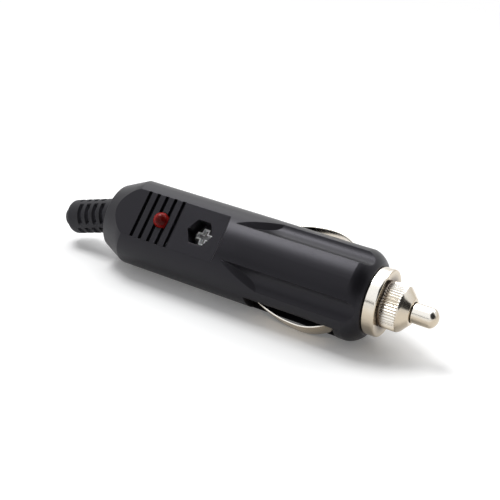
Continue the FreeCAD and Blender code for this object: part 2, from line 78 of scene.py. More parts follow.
WHITE = (1.0, 1.0, 1.0, 1.0)
UPRIGHT = (0.0, 0.0, 1.0)

# The plug lies rolled about its axis, X, by ROLL. These places along X are read from the frame.
ROLL = math.radians(49.0)
HOUSING_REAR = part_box("upper_shell")[0][0]
COLLAR_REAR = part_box("retaining_nut")[0][0]
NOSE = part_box("retaining_nut")[1][0]
PIN_REAR, PIN_TIP = (corner[0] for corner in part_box("centre_contact"))
PANEL_LENGTH = 32.0 * MM
PANEL_FRONT = HOUSING_REAR + PANEL_LENGTH
TERMINAL_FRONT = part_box("spring_terminal")[1][0]
FUSE_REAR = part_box("fuse_cap_rear")[0][0]
SCREW_X = sum(corner[0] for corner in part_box("clamp_screw")) / 2

# The driver's cross in the screw's head.
CROSS_ARM = 1.75 * MM
CROSS_HALF_WIDTH = 0.55 * MM

# Faces that meet at a sharper turn than this keep a hard edge.
SHARP_TURN = math.radians(35.0)
FLOOR_REACH = 3.0


def length(name, text, millimetres):
    return FloatProperty(name=name, description=text, default=millimetres * MM, unit="LENGTH", precision=5)


def angle(name, text, degrees):
    return FloatProperty(name=name, description=text, default=math.radians(degrees), subtype="ANGLE",
                         unit="ROTATION")


def power(name, text, watts):
    return FloatProperty(name=name, description=text, default=watts, min=0.0, unit="POWER")


def strength(name, text, value):
    return FloatProperty(name=name, description=text, default=value, min=0.0)


def place(name, text, millimetres):
    return FloatVectorProperty(name=name, description=text, size=3, subtype="XYZ", unit="LENGTH",
                               default=tuple(part * MM for part in millimetres))


def colour(name, text, value):
    return FloatVectorProperty(name=name, description=text, size=4, subtype="COLOR", min=0.0, max=1.0,
                               default=value)


class BootSizes(PropertyGroup):
    """The soft boot at the lead's entry."""
    radius: length("Radius", "Outside radius of the boot", 4.2)
    bore: length("Bore", "Radius of the lead's bore", 1.8)
    reach: length("Reach", "Length outside the housing, from the bend", 15.6)
    end_edge: length("End edge", "Rounding of the boot's rear end", 0.9)
    tip_radius: length("Tip radius", "Radius of the nozzle behind the rear end", 2.5)
    tip_length: length("Tip length", "Length of the nozzle", 1.8)
    tip_edge: length("Tip edge", "Rounding of the nozzle's mouth", 0.5)
    flange_radius: length("Flange radius", "Radius of the flange inside the housing", 5.9)
    pivot: length("Pivot", "Distance of the bend behind the housing", 0.8)
    core_radius: length("Core radius", "Radius at the bottom of the slots", 3.2)
    slot_width: length("Slot width", "Width of each slot along the boot", 1.1)
    slot_pitch: length("Slot pitch", "Distance between slots of one column", 2.3)
    slot_start: length("Slot start", "Place of the first slot behind the bend", 2.5)
    slot_rows: IntProperty(name="Slot rows", description="Slots in each column", default=4, min=1)
    slot_half_angle: angle("Slot half angle", "Half of the arc that a slot spans", 37.0)
    slot_turn: angle("Slot turn", "Turn of the first column of slots from upright", 65.0)
    droop: angle("Droop", "How far the boot hangs below the axis", 17.2)


class NutSizes(PropertyGroup):
    """The plated retaining nut."""
    flange_radius: length("Flange radius", "Radius of the flange", 7.6)
    flange_thickness: length("Flange thickness", "Thickness of the flange", 2.9)
    knurl_radius: length("Knurl radius", "Radius over the knurl's teeth", 5.2)
    knurl_length: length("Knurl length", "Length of the knurled band", 3.9)
    knurl_depth: length("Knurl depth", "Depth between two teeth", 0.28)
    knurl_teeth: IntProperty(name="Knurl teeth", description="Teeth around the knurl", default=48, min=8)
    nose_radius: length("Nose radius", "Radius of the cone's small end", 2.9)
    hole_radius: length("Hole radius", "Radius of the hole for the pin", 2.35)
    lip: length("Lip", "Thickness of the lip that holds the pin's flange", 2.7)
    thread_radius: length("Thread radius", "Radius of the thread in the nut", 4.26)
    edge: length("Edge", "Rounding of the outer edges", 0.34)


class PinSizes(PropertyGroup):
    """The centre contact."""
    radius: length("Radius", "Radius of the bare stem", 2.25)
    crown: length("Crown", "Height of the rounded tip", 1.7)
    edge: length("Edge", "Rounding between stem and dome", 1.2)
    neck_radius: length("Neck radius", "Radius of the neck behind the shoulder", 1.85)
    flange_radius: length("Flange radius", "Radius of the flange inside the nut", 3.2)
    flange_thickness: length("Flange thickness", "Thickness of that flange", 1.4)


class StripSizes(PropertyGroup):
    """The two side contacts."""
    width: length("Width", "Width of the strip", 5.0)
    thickness: length("Thickness", "Thickness of the strip", 0.4)
    reach: length("Reach", "Distance of the bow's top from the axis", 11.6)
    apex: length("Apex", "Place of the bow's top before the panel", 21.9)
    rear_bow: length("Rear bow", "Radius of the rear half of the bow", 26.0)
    front_bow: length("Front bow", "Radius of the front half of the bow", 10.6)
    bend: length("Bend", "Radius of the bend above the leg", 2.0)
    leg_start: length("Leg start", "Start of the leg before the panel", 3.0)
    leg_offset: length("Leg offset", "Distance of the leg from the axis", 7.6)
    rise: angle("Rise", "Slope of the strip behind its bow", 27.5)
    tail: angle("Tail", "Slope of the strip's free end", 42.0)


class LightSizes(PropertyGroup):
    """The red light."""
    radius: length("Radius", "Radius of stem and dome", 1.85)
    flange_radius: length("Flange radius", "Radius of the flange under the panel", 2.2)
    flange_thickness: length("Flange thickness", "Thickness of that flange", 0.7)
    setback: length("Setback", "Distance behind the panel's front edge", 16.3)
    seat: length("Seat", "Height of the panel's inner face over the axis", 6.92)
    centre: length("Centre", "Height of the dome's centre over the axis", 8.42)


class SpringSizes(PropertyGroup):
    """The spring behind the fuse."""
    coil_radius: length("Coil radius", "Radius of the coil's centre line", 2.5)
    wire_radius: length("Wire radius", "Radius of the wire", 0.3)
    turns: IntProperty(name="Turns", description="Turns of the coil", default=5, min=2)


class PlugColours(PropertyGroup):
    """Base colours of the finishes."""
    housing: colour("Housing", "Moulded housing", (0.0066, 0.0063, 0.0080, 1.0))
    boot: colour("Boot", "Soft boot", (0.012, 0.012, 0.014, 1.0))
    nickel: colour("Nickel", "Bright nickel plate", (0.93, 0.90, 0.84, 1.0))
    # Painted shade: the plate's tint on the side turned from the light, also taken by pits.
    shade_and_pit_tint: colour("Shade_and_pit_tint", "Warmer tint of the plate", (0.55, 0.47, 0.36, 1.0))
    zinc: colour("Zinc", "Zinc plate on screw and nut", (0.92, 0.93, 0.95, 1.0))
    brass: colour("Brass", "Stamped brass", (0.80, 0.58, 0.28, 1.0))
    tin: colour("Tin", "Tinned wire", (0.72, 0.72, 0.70, 1.0))
    lens: colour("Lens", "Clear red resin", (0.27, 0.012, 0.010, 1.0))
    glass: colour("Glass", "Fuse tube", (0.95, 0.97, 0.96, 1.0))
    enamel: colour("Enamel", "Resistor body", (0.62, 0.45, 0.24, 1.0))


class StageLook(PropertyGroup):
    """Camera, lamps and floor."""
    eye: place("Eye", "Place of the camera", (57.62, -183.25, 96.35))
    aim: place("Aim", "Point that the camera looks at", (-37.07, -6.67, 5.51))
    tilt: angle("Tilt", "Roll of the camera about its view", 5.585)
    view_angle: angle("View angle", "Angle that the square picture spans",
                      math.degrees(2 * math.atan(0.25)))
    floor: colour("Floor", "Pale floor", (0.93, 0.93, 0.93, 1.0))
    key_power: power("Key power", "Power of the lamp overhead", 2.1)
    softbox_power: power("Softbox power", "Power of the large lamp behind the plug", 1.3)
    rim_power: power("Rim power", "Power of the small lamp beyond the tip", 0.22)
    snoot_power: power("Snoot power", "Power of the narrow lamp on the screw", 6.0)
    overhead: strength("Overhead", "Strength of the room's light from overhead", 0.6)
    low: strength("Low", "Strength of the room's light from low down", 0.35)


class Value:
    """A shader socket that takes part in Python arithmetic. Each operation adds one Math node."""

    def __init__(self, graph, socket):
        self.graph = graph
        self.socket = socket

    def maths(self, operation, *values):
        return self.graph.add("ShaderNodeMath", {"operation": operation}, dict(enumerate(values)))

    def __add__(self, other):
        return self.maths("ADD", self, other)

    __radd__ = __add__

    def __sub__(self, other):
        return self.maths("SUBTRACT", self, other)

    def __rsub__(self, other):
        return self.maths("SUBTRACT", other, self)

    def __mul__(self, other):
        return self.maths("MULTIPLY", self, other)

    __rmul__ = __mul__

    def __truediv__(self, other):
        return self.maths("DIVIDE", self, other)

    def __rtruediv__(self, other):
        return self.maths("DIVIDE", other, self)

    def __abs__(self):
        return self.maths("ABSOLUTE", self)

    def between(self, low, high):
        """0 below low, 1 above high and a smooth rise from one to the other."""
        return self.graph.add("ShaderNodeMapRange", {"interpolation_type": "SMOOTHSTEP"},
                              {"Value": self, "From Min": low, "From Max": high})


class Graph:
    """The nodes of one material or of the room, all of them added through add()."""

    def __init__(self, name, library=None):
        self.owner = (bpy.data.materials if library is None else library).new(name)
        self.owner.use_nodes = True
        self.tree = self.owner.node_tree
        self.tree.nodes.clear()

    def add(self, kind, settings=None, sockets=None, output=0):
        """Adds a node: its settings first, then a value or a link for each socket. Returns one output."""
        node = self.tree.nodes.new(kind)
        for name, value in (settings or {}).items():
            if name == "stops":
                for position, tint in value[2:]:
                    node.color_ramp.elements.new(position)
                for element, (position, tint) in zip(node.color_ramp.elements, value):
                    element.position = position
                    element.color = tint
            else:
                setattr(node, name, value)
        for name, value in (sockets or {}).items():
            if isinstance(value, Value):
                self.tree.links.new(value.socket, node.inputs[name])
            else:
                node.inputs[name].default_value = value
        return Value(self, node.outputs[output]) if node.outputs else None

    def place(self, scale=(1.0, 1.0, 1.0), turn=(0.0, 0.0, 0.0)):
        """Object coordinates in metres, stretched and turned."""
        here = self.add("ShaderNodeTexCoord", output=3)
        return self.add("ShaderNodeMapping", None, {"Vector": here, "Rotation": turn, "Scale": scale})

    def noise(self, scale, detail, place=None):
        """Soft noise about 0.5, at so many grains a metre."""
        sockets = {"Vector": place or self.place(), "Scale": scale, "Detail": detail}
        return self.add("ShaderNodeTexNoise", None, sockets)

    def mix(self, factor, first, second):
        """A colour between two others."""
        return self.add("ShaderNodeMix", {"data_type": "RGBA"}, {0: factor, 6: first, 7: second}, output=2)

    def mix_shaders(self, factor, first, second):
        """A shader between two others."""
        return self.add("ShaderNodeMixShader", None, {0: factor, 1: first, 2: second})

    def dot(self, first, second):
        """How far two directions agree: 1 when they are the same, 0 when they are square."""
        return self.add("ShaderNodeVectorMath", {"operation": "DOT_PRODUCT"},
                        {0: first, 1: second}, output=1)

    def soft_edges(self, radius):
        """The normal with its sharp edges rounded off, and how near an edge a point lies."""
        rounded = self.add("ShaderNodeBevel", {"samples": 8}, {"Radius": radius})
        flat = self.add("ShaderNodeNewGeometry", output=1)
        return rounded, (1.0 - self.dot(rounded, flat)).between(0.01, 0.25)

    def seen(self):
        """1 where the camera looks straight on, in a reflection or through something clear, else 0."""
        camera, glossy, through = (self.add("ShaderNodeLightPath", output=ray) for ray in
                                   ("Is Camera Ray", "Is Glossy Ray", "Is Transmission Ray"))
        return camera + glossy + through

    def bump(self, height, distance, strength, normal=None):
        """A normal tilted by a height, over the surface's own normal or another one."""
        sockets = {"Height": height, "Distance": distance, "Strength": strength}
        if normal:
            sockets["Normal"] = normal
        return self.add("ShaderNodeBump", None, sockets)

    def close(self, shader, output="ShaderNodeOutputMaterial"):
        """Ends the graph in a shader and returns what the graph belongs to."""
        self.add(output, None, {"Surface": shader})
        return self.owner

    def principled(self, **sockets):
        """Ends the graph in a Principled shader whose sockets are named with underscores for spaces."""
        named = {name.replace("_", " "): value for name, value in sockets.items()}
        return self.close(self.add("ShaderNodeBsdfPrincipled", None, named))


def scaled(tint, share):
    """A lighter or darker colour."""
    return tuple(share * part for part in tint[:3]) + (1.0,)


def moulded_plastic(name, tint):
    """Satin moulded plastic: a fine spark-eroded grain, faint flow marks and edges rubbed smoother."""
    graph = Graph(name)
    normal, edge = graph.soft_edges(0.22 * MM)
    grain = graph.noise(5200.0, 3.0)
    flow = graph.noise(90.0, 3.0, graph.place(scale=(0.35, 1.0, 1.0)))
    specks = graph.noise(1500.0, 1.0).between(0.62, 0.75)
    rubbed = flow.between(0.35, 0.7) * 0.35 + edge * 0.55 + specks * 0.08
    return graph.principled(
        Base_Color=graph.mix(rubbed, tuple(tint), scaled(tint, 1.55)),
        Roughness=0.30 + flow * 0.12 - edge * 0.08 + specks * 0.06,
        Normal=graph.bump(grain, 0.02 * MM, 0.35, normal),
        IOR=1.35,
        Specular_Tint=(0.91, 0.89, 1.0, 1.0),
    )


def soft_rubber(name, tint):
    """Soft moulded boot: matt and a little dusty on the ridges, with painted light down in the slots."""
    graph = Graph(name)
    depth = graph.add("ShaderNodeAttribute", {"attribute_name": "depth"}, output=2)
    grain = graph.noise(3800.0, 4.0)
    dust = graph.noise(260.0, 3.0)
    ridge = graph.mix(dust.between(0.35, 0.75) * 0.6, tuple(tint), scaled(tint, 1.6))
    return graph.principled(
        # Painted light: down in the slots the colour rises to five times the rubber's tint.
        Base_Color=graph.mix(depth, ridge, scaled(tint, 5.0)),
        Roughness=0.44 + dust * 0.16 + depth * 0.15,
        Normal=graph.bump(grain, 0.03 * MM, 0.5),
        IOR=1.35,
        Specular_Tint=(0.93, 0.91, 1.0, 1.0),
    )


def plated_metal(name, tint, tone_shift, roughness, stretch=(1.0, 1.0, 1.0)):
    """Bright plate: painted shade turns it warmer where it faces away from the light, and painted shade
    darkens its corners.

    Hairlines run along the directions whose stretch is small.
    """
    light_side = (0.10, -0.55, 0.83)
    corner_shade_brown = (0.055, 0.030, 0.014, 1.0)
    graph = Graph(name)
    hairs = graph.noise(2400.0, 2.0, graph.place(scale=stretch))
    clouds = graph.noise(420.0, 4.0)
    pits = graph.noise(6500.0, 1.0).between(0.70, 0.80)
    grime = graph.add("ShaderNodeAttribute", {"attribute_name": "grime"}, output=2)
    # Painted shade: the plate runs from its tint to tone_shift as its normal turns from light_side; pits
    # take some of that tint too.
    facing = graph.dot(graph.add("ShaderNodeNewGeometry", output=1), light_side)
    away = 1.0 - (facing + clouds * 0.16 - 0.08).between(0.50, 0.99)
    plate = graph.mix(away * 0.95 + pits * 0.2, tuple(tint), tuple(tone_shift))
    return graph.principled(
        # Painted shade: a brown mixed in where grime, set only on the nut, is high.
        Base_Color=graph.mix(grime * (0.55 + clouds * 0.6), plate, corner_shade_brown),
        Metallic=1.0,
        Roughness=roughness + clouds * 0.08 + hairs * 0.06,
        Normal=graph.bump(hairs, 0.006 * MM, 0.35),
    )


def dark_screw(name, tint):
    """Dark steel, with a painted glint round the cross in the head, the recess a little paler, and a
    painted highlight along its edges.

    u and w are the distances from the screw's axis along the plug and across it. The cross holds
    the points with u < arm and w < half width, or the reverse.
    """
    outer, inner, rim = 0.18 * MM, -0.14 * MM, 0.14 * MM
    graph = Graph(name)
    here = graph.place(turn=(-ROLL, 0.0, 0.0))
    u = abs(graph.add("ShaderNodeSeparateXYZ", None, {0: here}, output="X") - SCREW_X)
    w = abs(graph.add("ShaderNodeSeparateXYZ", None, {0: here}, output="Y"))

    def within(distance, reach):
        """1 nearer than the reach, and 0 further than its rim."""
        return 1.0 - (distance / MM).between(reach / MM, (reach + rim) / MM)

    def cross(grown):
        """1 inside the cross when it is grown all round."""
        along = within(u, CROSS_ARM + grown) * within(w, CROSS_HALF_WIDTH + grown)
        across = within(w, CROSS_ARM + grown) * within(u, CROSS_HALF_WIDTH + grown)
        return graph.add("ShaderNodeMath", {"operation": "MAXIMUM"}, {0: along, 1: across})

    clouds = graph.noise(1500.0, 3.0)
    recess = cross(inner)
    # Painted glint: a band just outside the recess, near white and hardly metallic.
    painted_glint = cross(outer) - recess
    tone_shift = recess * (0.08 + clouds.between(0.35, 0.65) * 0.08)
    normal, edge = graph.soft_edges(0.16 * MM)
    return graph.principled(
        # The painted glint and a painted highlight along the edges lift the dark steel towards the zinc
        # tint; the recess is a little paler.
        Base_Color=graph.mix(painted_glint * 1.2 + tone_shift + edge * 0.5, scaled(tint, 0.06), tuple(tint)),
        Metallic=1.0 - painted_glint - recess * 0.8,
        Roughness=0.36 + clouds * 0.2,
        Normal=graph.bump(clouds, 0.02 * MM, 0.3, normal),
    )


def edged_metal(name, tint, roughness, radius):
    """Plated steel that keeps its flat faces, with edges rounded and a painted highlight along them."""
    graph = Graph(name)
    normal, edge = graph.soft_edges(radius)
    clouds = graph.noise(700.0, 3.0)
    # Random dull patches, less a painted highlight along the edges.
    dull_and_edge_highlight = clouds.between(0.45, 0.8) * 0.6 - edge * 0.5
    return graph.principled(
        Base_Color=graph.mix(dull_and_edge_highlight, tuple(tint), scaled(tint, 0.62)),
        Metallic=1.0,
        Roughness=roughness + clouds * 0.16,
        Normal=graph.bump(clouds, 0.02 * MM, 0.3, normal),
    )


def red_resin(name, tint):
    """Clear red resin, with painted shade where the eye looks straight down it and a painted glow towards
    its rim.
    """
    graph = Graph(name)
    ripple = graph.noise(900.0, 2.0)
    bubbles = graph.noise(4200.0, 0.0).between(0.72, 0.8)
    rim = graph.add("ShaderNodeLayerWeight", None, {"Blend": 0.5}, output="Facing")
    # Painted light: dark red face on, rising to the full tint towards the rim.
    bright = rim.between(0.10, 0.50) + ripple * 0.1
    return graph.principled(
        Base_Color=graph.mix(bright, scaled(tint, 0.28), tuple(tint)),
        Roughness=0.04 + bubbles * 0.08,
        Normal=graph.bump(ripple, 0.02 * MM, 0.15),
        Transmission_Weight=0.08,
        IOR=1.18,
    )


def clear_glass(name, tint):
    """Drawn glass tube with faint lines along it."""
    graph = Graph(name)
    lines = graph.noise(1200.0, 2.0, graph.place(scale=(0.05, 1.0, 1.0)))
    return graph.principled(
        Base_Color=tuple(tint),
        Roughness=0.02 + lines * 0.05,
        Normal=graph.bump(lines, 0.01 * MM, 0.1),
        Transmission_Weight=1.0,
        IOR=1.5,
    )


def banded_enamel(name, tint, middle, half_length):
    """Resistor enamel with four colour rings along X, each at its share of the length."""
    body = tuple(tint)
    brown, black = (0.32, 0.06, 0.02, 1.0), (0.02, 0.02, 0.02, 1.0)
    red, gold = (0.5, 0.02, 0.02, 1.0), (0.62, 0.42, 0.10, 1.0)
    ring_half, ring_edge = 0.045, 0.05
    graph = Graph(name)
    along = graph.add("ShaderNodeSeparateXYZ", None, {0: graph.place()})
    share = (along - (middle - half_length)) / (2 * half_length)
    stops = [(0.0, body)]
    for centre, ring in ((0.16, brown), (0.34, black), (0.52, red), (0.82, gold)):
        stops += [(centre - ring_edge, body), (centre - ring_half, ring),
                  (centre + ring_half, ring), (centre + ring_edge, body)]
    rings = graph.add("ShaderNodeValToRGB", {"stops": stops}, {"Fac": share})
    gloss = graph.noise(1800.0, 2.0)
    return graph.principled(
        Base_Color=rings,
        Roughness=0.22 + gloss * 0.14,
        Normal=graph.bump(gloss, 0.02 * MM, 0.2),
    )


def lie_down(points):
    """Turns points about X by the plug's roll: y and z mix by its cosine and sine."""
    turn = np.array(Matrix.Rotation(ROLL, 3, "X"))
    return points @ turn.T


def rounded(corners, closed=False):
    """A path through corners (x, y, radius), each of which gives way to an arc.

    A corner's arc is the parabola (1-t)^2 A + 2 t (1-t) P + t^2 B, where A and B lie its radius
    before and after the corner P.
    """
    steps = 5
    corners = np.asarray(corners, float)
    corners, reach = corners[:, :2], corners[:, 2, None, None]
    before = np.roll(corners, 1, axis=0) - corners
    after = np.roll(corners, -1, axis=0) - corners
    before /= np.linalg.norm(before, axis=1, keepdims=True)
    after /= np.linalg.norm(after, axis=1, keepdims=True)
    t = np.linspace(0.0, 1.0, steps)[None, :, None]
    start = corners[:, None] + before[:, None] * reach
    end = corners[:, None] + after[:, None] * reach
    arcs = (1 - t) ** 2 * start + 2 * t * (1 - t) * corners[:, None] + t ** 2 * end
    path = arcs.reshape(-1, 2)
    if closed:
        return path
    return np.concatenate([corners[:1], path[steps:-steps], corners[-1:]])


def refined(path, spacing):
    """The same closed path with points no further apart than the spacing, found by arc length."""
    loop = np.concatenate([path, path[:1]])
    steps = np.linalg.norm(np.diff(loop, axis=0), axis=1)
    reach = np.concatenate([[0.0], np.cumsum(steps)])
    places = np.unique(np.round(np.concatenate([reach, np.arange(0.0, reach[-1], spacing)]), 9))
    return np.stack([np.interp(places, reach, loop[:, axis]) for axis in (0, 1)], axis=1)[:-1]


def turned(path, count, wave=None):
    """A path of (x, radius) turned about X.

    The point at angle a is (x, -r sin a, r cos a). A wave gives r for each x, radius and angle.
    """
    angles = np.linspace(0.0, 2 * math.pi, count, endpoint=False)[None, :]
    x = path[:, :1] + 0 * angles
    r = path[:, 1:] + 0 * angles
    if wave:
        r = wave(x, r, angles)
    return np.stack([x, -r * np.sin(angles), r * np.cos(angles)], axis=-1)


def swept(centres, across, upward, section):
    """A section carried along a path and drawn to a point at both ends.

    The section's point (u, v) lies at the path's centre plus u times across plus v times upward.
    """
    rings = centres[:, None] + section[:, :1] * across[:, None] + section[:, 1:] * upward[:, None]
    first, last = (np.tile(centres[end], (1, len(section), 1)) for end in (0, -1))
    return np.concatenate([first, rings, last])


def put(name, data):
    """Adds an object to the scene."""
    thing = bpy.data.objects.new(name, data)
    bpy.context.scene.collection.objects.link(thing)
    return thing


def add_piece(name, points, body, material, stands_for, wrap_rows=False, values=None):
    """A smooth object from a grid of points, whose columns close on themselves."""
    rows, columns = points.shape[:2]
    index = np.arange(rows * columns).reshape(rows, columns)
    index = np.concatenate([index, index[:, :1]], axis=1)
    if wrap_rows:
        index = np.concatenate([index, index[:1]])
    quads = np.stack([index[:-1, :-1], index[:-1, 1:], index[1:, 1:], index[1:, :-1]], axis=-1)
    mesh = bpy.data.meshes.new(name)
    mesh.from_pydata(points.reshape(-1, 3), [], quads.reshape(-1, 4))
    for label, numbers in (values or {}).items():
        layer = mesh.attributes.new(label, "FLOAT", "POINT")
        layer.data.foreach_set("value", np.ascontiguousarray(numbers, np.float32).ravel())
    shape = bmesh.new()
    shape.from_mesh(mesh)
    bmesh.ops.remove_doubles(shape, verts=shape.verts, dist=0.0005 * MM)
    bmesh.ops.recalc_face_normals(shape, faces=shape.faces)
    shape.to_mesh(mesh)
    shape.free()
    mesh.shade_smooth()
    mesh.set_sharp_from_angle(angle=SHARP_TURN)
    mesh.materials.append(material)
    piece = put(name, mesh)
    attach(piece, body)
    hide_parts(*stands_for)
    return piece


def dress(material, *nodes):
    """Gives nodes of the frame their material."""
    for node in nodes:
        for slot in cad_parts[node].material_slots:
            slot.material = material


def boot_surface(sizes):
    """The boot, and how deep its slots are at each point.

    Rings of radius R(s), less the slots, are carried along a line that bends down behind the wall.
    s runs backwards from the pivot. A slot takes R down to the core where both its window along s
    and its window round the boot are open. Every second ring of slots is turned a quarter.
    """
    neck_radius, neck_length, flange_length = 3.6 * MM, 2.6 * MM, 1.6 * MM
    rim_s, rim_a = 0.07 * MM, 0.1 * MM
    tail = sizes.reach
    end = tail - sizes.tip_length
    neck = sizes.pivot + neck_length
    flange = neck + flange_length
    path = refined(rounded([
        (-flange, sizes.bore, 0.0),
        (-flange, sizes.flange_radius, 0.2 * MM),
        (-neck, sizes.flange_radius, 0.2 * MM),
        (-neck, neck_radius, 0.05 * MM),
        (-sizes.pivot, neck_radius, 0.01 * MM),
        (-sizes.pivot + 0.01 * MM, sizes.radius, 0.01 * MM),
        (end, sizes.radius, sizes.end_edge),
        (end, sizes.tip_radius, 0.3 * MM),
        (tail, sizes.tip_radius, sizes.tip_edge),
        (tail, sizes.bore, 0.15 * MM),
    ], closed=True), 0.085 * MM)
    s, outer = path[:, :1], path[:, 1:]
    angles = np.linspace(0.0, 2 * math.pi, 240, endpoint=False)[None, :]
    depth = np.zeros((len(path), angles.shape[1]))
    for quarter in (0, 1):
        ring = (s - sizes.slot_start - quarter * sizes.slot_pitch / 2) / sizes.slot_pitch
        nearest = np.clip(np.round(ring), 0, sizes.slot_rows - 1)
        along = np.abs(ring - nearest) * sizes.slot_pitch
        open_s = np.clip((sizes.slot_width / 2 + rim_s - along) / (2 * rim_s), 0.0, 1.0)
        turn = angles - sizes.slot_turn - quarter * math.pi / 2
        aside = np.abs((turn + math.pi / 2) % math.pi - math.pi / 2) * sizes.radius
        open_a = np.clip((sizes.slot_half_angle * sizes.radius + rim_a - aside) / (2 * rim_a), 0.0, 1.0)
        depth = np.maximum(depth, (open_s * open_a) ** 2 * (3 - 2 * open_s * open_a))
    outside = (outer > sizes.core_radius) & (s > 0)
    r = np.where(outside, outer - depth * (outer - sizes.core_radius), outer + 0 * angles)
    # The line turns from the axis to the droop over a short arc on both sides of the pivot.
    bend = 1.2 * MM
    lean = sizes.droop * np.clip((s + bend) / (2 * bend), 0.0, 1.0)
    arc = 2 * bend / sizes.droop
    past = np.maximum(s - bend, 0.0)
    before = np.minimum(s + bend, 0.0)
    back = -bend + before + arc * np.sin(lean) + past * np.cos(lean)
    down = arc * (1 - np.cos(lean)) + past * np.sin(lean)
    x = HOUSING_REAR - sizes.pivot - back - r * np.cos(angles) * np.sin(lean)
    z = r * np.cos(angles) * np.cos(lean) - down
    points = np.stack([x, -r * np.sin(angles), z], axis=-1)
    return points, np.where(outside, depth, 0.0)


def nut_surface(sizes):
    """The nut turned about X, and the painted shade round its knurl's root.

    A tooth takes the knurl's depth times ((1 - cos n a) / 2) ^ 0.8 from r, faded out at both ends.
    """
    corner_shade_reach = 1.6 * MM
    flange_front = COLLAR_REAR + sizes.flange_thickness
    knurl_front = flange_front + sizes.knurl_length
    lip_rear = NOSE - sizes.lip
    path = refined(rounded([
        (COLLAR_REAR, sizes.thread_radius, 0.1 * MM),
        (COLLAR_REAR, sizes.flange_radius, sizes.edge),
        (flange_front, sizes.flange_radius, 1.4 * sizes.edge),
        (flange_front, sizes.knurl_radius, 0.12 * MM),
        (knurl_front, sizes.knurl_radius, 0.5 * MM),
        (NOSE, sizes.nose_radius, 0.28 * MM),
        (NOSE, sizes.hole_radius, 0.15 * MM),
        (lip_rear, sizes.hole_radius, 0.1 * MM),
        (lip_rear, sizes.thread_radius, 0.1 * MM),
    ], closed=True), 0.3 * MM)

    def toothed(x, radius, angles):
        rear = np.clip((x - flange_front - 0.15 * MM) / (0.2 * MM), 0, 1)
        front = np.clip((knurl_front - x) / (0.3 * MM), 0, 1)
        skin = radius > sizes.knurl_radius - 0.6 * MM
        tooth = (1 - np.cos(sizes.knurl_teeth * angles)) / 2
        return radius - sizes.knurl_depth * tooth ** 0.8 * rear * front * skin

    points = turned(path, 8 * sizes.knurl_teeth, toothed)
    # Painted shade in the corner between flange and knurl, fading out over corner_shade_reach.
    away = np.hypot(path[:, :1] - flange_front, path[:, 1:] - sizes.knurl_radius)
    grime = np.clip(1.25 - away / corner_shade_reach, 0.0, 1.0) ** 1.5
    return points, grime + np.zeros(points.shape[:2])


def crown_path(start, radius, edge, height):
    """Half of a rounded tip: an edge arc that runs smoothly into a dome centred on the axis."""
    steps = 18
    lean = 2 * math.atan((height - edge) / (radius - edge))
    dome = edge + (radius - edge) / math.sin(lean)
    centre = start + height - dome
    on_edge = np.linspace(math.pi / 2, lean, steps)
    on_dome = np.linspace(lean, 0.0, steps)[1:]
    edge_arc = np.stack([start + edge * np.cos(on_edge), radius - edge + edge * np.sin(on_edge)], axis=1)
    dome_arc = np.stack([centre + dome * np.cos(on_dome), dome * np.sin(on_dome)], axis=1)
    return np.concatenate([edge_arc, dome_arc])


def pin_surface(sizes):
    """The pin turned about X: flange, neck, shoulder, stem and crowned tip."""
    flange_front = PIN_REAR + sizes.flange_thickness
    crown_start = PIN_TIP - sizes.crown
    stem = rounded([
        (PIN_REAR, 0.0, 0.0),
        (PIN_REAR, sizes.flange_radius, 0.15 * MM),
        (flange_front, sizes.flange_radius, 0.15 * MM),
        (flange_front, sizes.neck_radius, 0.1 * MM),
        (0.0, sizes.neck_radius, 0.05 * MM),
        (0.0, sizes.radius, 0.15 * MM),
        (crown_start, sizes.radius, 0.0),
    ])
    path = np.concatenate([stem[:-1], crown_path(crown_start, sizes.radius, sizes.edge, sizes.crown)])
    path[-1, 1] = 0.0
    return turned(path, 128)


def strip_surface(sizes, side):
    """A side contact: a rounded flat section carried along leg, bend, rise and two arcs of the bow.

    The section's point at angle a is (sign(cos a) (w - e) + e cos a, sign(sin a) (t - e) + e sin a),
    where w and t are its half sizes and e is its edge.
    """
    edge, count = 0.13 * MM, 40
    apex_x = PANEL_FRONT + sizes.apex
    apex_y = sizes.reach - sizes.thickness / 2
    rise_x = apex_x - sizes.rear_bow * math.sin(sizes.rise)
    rise_y = apex_y - sizes.rear_bow * (1 - math.cos(sizes.rise))
    bend_end_y = sizes.leg_offset + sizes.bend * (1 - math.cos(sizes.rise))
    bend_end_x = rise_x - (rise_y - bend_end_y) / math.tan(sizes.rise)
    bend_x = bend_end_x - sizes.bend * math.sin(sizes.rise)

    def arc(x, y, radius, slopes):
        """The points of an arc where it has these slopes. It has slope 0 at x, y."""
        return np.stack([x + radius * np.sin(slopes), y + radius * (1 - np.cos(slopes))], axis=1)

    leg_slopes = np.zeros(12)
    bend_slopes = np.linspace(0.0, sizes.rise, 9)[1:]
    rear_slopes = np.linspace(sizes.rise, 0.0, 40)
    front_slopes = np.linspace(0.0, -sizes.tail, 30)[1:]
    leg_x = np.linspace(PANEL_FRONT + sizes.leg_start, bend_x, len(leg_slopes))
    line = np.concatenate([
        np.stack([leg_x, sizes.leg_offset + leg_slopes], axis=1),
        arc(bend_x, sizes.leg_offset, sizes.bend, bend_slopes),
        arc(apex_x, apex_y, -sizes.rear_bow, rear_slopes),
        arc(apex_x, apex_y, -sizes.front_bow, front_slopes),
    ])
    slopes = np.concatenate([leg_slopes, bend_slopes, rear_slopes, front_slopes])
    around = (np.arange(count) + 0.5) / count * 2 * math.pi
    circle = np.stack([np.cos(around), np.sin(around)], axis=1)
    half = np.array([sizes.width / 2, sizes.thickness / 2])
    section = np.sign(circle) * (half - edge) + edge * circle
    centres = np.stack([line[:, 0], side * line[:, 1], 0 * slopes], axis=1)
    across = np.tile(UPRIGHT, (len(line), 1))
    outward = np.stack([-np.sin(slopes), side * np.cos(slopes), 0 * slopes], axis=1)
    return lie_down(swept(centres, across, outward, section))


